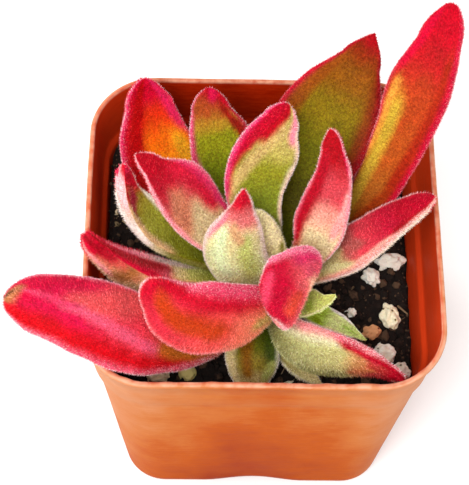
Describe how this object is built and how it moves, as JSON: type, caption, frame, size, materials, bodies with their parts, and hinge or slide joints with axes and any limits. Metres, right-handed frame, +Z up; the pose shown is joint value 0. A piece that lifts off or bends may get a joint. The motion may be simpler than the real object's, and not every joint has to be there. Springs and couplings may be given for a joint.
{
  "type": "potted echeveria",
  "caption": "Velvet-leaved succulent with red-edged fleshy leaves, rooted in potting mix in a small square plastic nursery pot.",
  "frame": {"origin": "centre of the pot's underside, on the plane that it stands on", "axes": "+Z up, +Y towards the back of the pot as pictured, +X to its right"},
  "size_m": [0.0695, 0.057, 0.0805],
  "materials": {
    "terracotta_plastic": "thin moulded terracotta-coloured polypropylene, satin gloss",
    "potting_mix": "dark crumbly peat and bark mix",
    "perlite": "matte porous off-white grain",
    "bark": "matte brown bark",
    "stem": "soft fleshy stalk",
    "green_leaf": "fleshy leaf with short white hairs and red edges",
    "red_leaf": "fleshy leaf flushed red, with short white hairs",
    "sprout_leaf": "young bright green leaf"
  },
  "bodies": {
    "root": {"pot": "terracotta_plastic", "potting_mix": "potting_mix", "stem": "stem", "perlite_pair_left": "perlite", "perlite_pair_right": "perlite", "perlite_back": "perlite", "perlite_back_small": "perlite", "perlite_yellow": "perlite", "perlite_small": "perlite", "bark_chip": "bark", "pebble_left": "bark", "pebble_round": "perlite", "perlite_front": "perlite", "leaf_heart": "green_leaf", "leaf_heart_back": "green_leaf", "leaf_inner_front_right": "red_leaf", "leaf_inner_left": "green_leaf", "leaf_inner_back": "green_leaf", "leaf_inner_right": "green_leaf", "leaf_front_left": "red_leaf", "leaf_left_upper": "green_leaf", "leaf_left": "green_leaf", "leaf_far_left": "red_leaf", "leaf_back_left": "green_leaf", "leaf_back": "green_leaf", "leaf_back_broad": "green_leaf", "leaf_back_right_long": "green_leaf", "leaf_right": "green_leaf", "leaf_front_right": "green_leaf", "leaf_front_low": "green_leaf", "leaf_front_right_low": "green_leaf", "leaf_sprout_upper": "sprout_leaf", "leaf_sprout_right": "sprout_leaf"}
  },
  "joints": []
}
